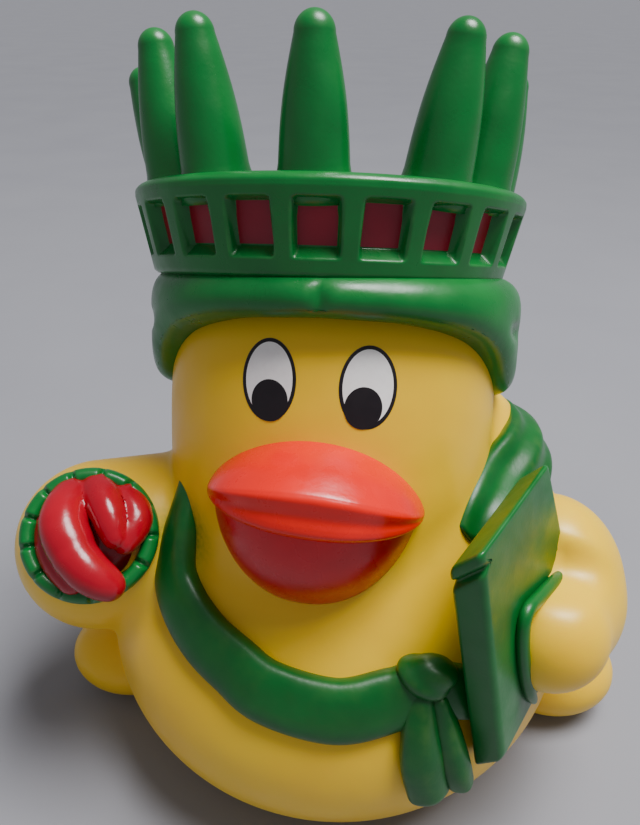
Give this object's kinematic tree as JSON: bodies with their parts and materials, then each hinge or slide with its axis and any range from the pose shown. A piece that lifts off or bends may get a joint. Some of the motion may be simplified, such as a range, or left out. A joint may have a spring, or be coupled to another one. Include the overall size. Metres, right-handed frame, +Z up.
{
  "type": "rubber duck",
  "caption": "Hollow vinyl toy duck in costume: tall rayed crown, torch in one wing, plain tablet in the other, knotted sash, flat base.",
  "frame": {"origin": "middle of the flat base, on the surface that the duck stands on", "axes": "+Z up, the duck faces -Y, the torch is on -X and the tablet on +X"},
  "size_m": [0.0913, 0.0851, 0.1],
  "materials": {
    "duck": "soft self-coloured yellow vinyl with semi-gloss sprayed paint in green, red and crimson"
  },
  "bodies": {
    "root": {"duck": "duck"}
  },
  "joints": []
}
